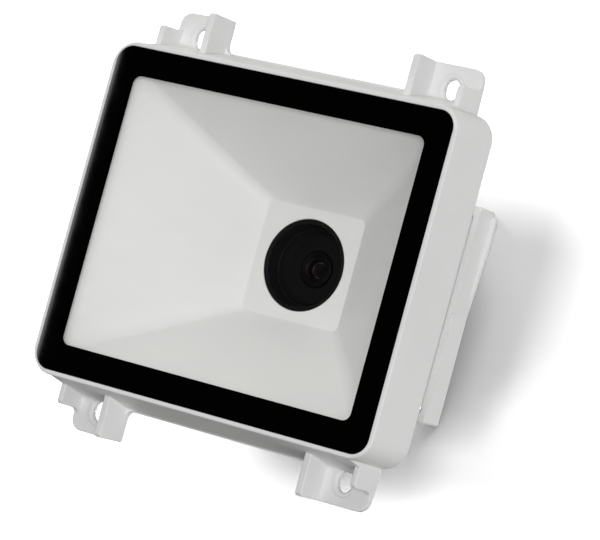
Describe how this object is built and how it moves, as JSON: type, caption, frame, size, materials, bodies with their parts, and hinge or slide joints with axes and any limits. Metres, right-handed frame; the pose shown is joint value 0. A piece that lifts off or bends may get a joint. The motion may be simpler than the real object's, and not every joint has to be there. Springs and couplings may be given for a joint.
{
  "type": "barcode scan engine",
  "caption": "Compact fixed-mount barcode scan engine: square black-framed window over a white light funnel and camera, slotted mounting ears and a stepped rear body.",
  "frame": {"origin": "centre of the footprint on the plane of the back face", "axes": "+Z along the optical axis and out of the window, +Y from ear to ear, +X across the width"},
  "size_m": [0.0616, 0.0658, 0.0293],
  "materials": {
    "shell_plastic": "fine satin moulded finish, pale grey-white",
    "window_pane": "clear, polished",
    "mask_film": "smooth black film",
    "gasket_tape": "thin black adhesive tape",
    "funnel_plastic": "white, satin, slightly translucent",
    "baffle_plastic": "matte black",
    "lens_barrel_black": "black, fine turned rings",
    "lens_glass": "coated optical glass",
    "filter_glass": "blue-green coated glass",
    "sensor_package": "dark package with a coated window",
    "circuit_board": "green solder mask",
    "chip_package": "matte black moulding compound",
    "can_metal": "satin metal can",
    "component_body": "tan ceramic",
    "connector_plastic": "natural white nylon",
    "header_plastic": "black header body",
    "light_board": "white solder mask",
    "led_package": "white package with a yellow phosphor face",
    "screw_steel": "zinc-plated steel"
  },
  "bodies": {
    "root": {"front_housing": "shell_plastic", "front_window": "window_pane", "window_mask": "mask_film", "window_gasket": "gasket_tape", "reflector": "funnel_plastic", "camera_hood": "baffle_plastic", "lens_barrel": "lens_barrel_black", "front_lens": "lens_glass", "rear_lens": "lens_glass", "lens_lock_ring": "lens_barrel_black", "lens_holder": "baffle_plastic", "ir_filter": "filter_glass", "image_sensor": "sensor_package", "main_board": "circuit_board", "processor_chip": "chip_package", "memory_chip": "chip_package", "crystal": "can_metal", "board_components": "component_body", "host_connector": "connector_plastic", "link_header": "header_plastic", "illumination_board": "light_board", "illumination_leds": "led_package", "rear_housing": "shell_plastic", "rear_cover": "shell_plastic", "housing_screws": "screw_steel", "board_screws": "screw_steel"}
  },
  "joints": []
}
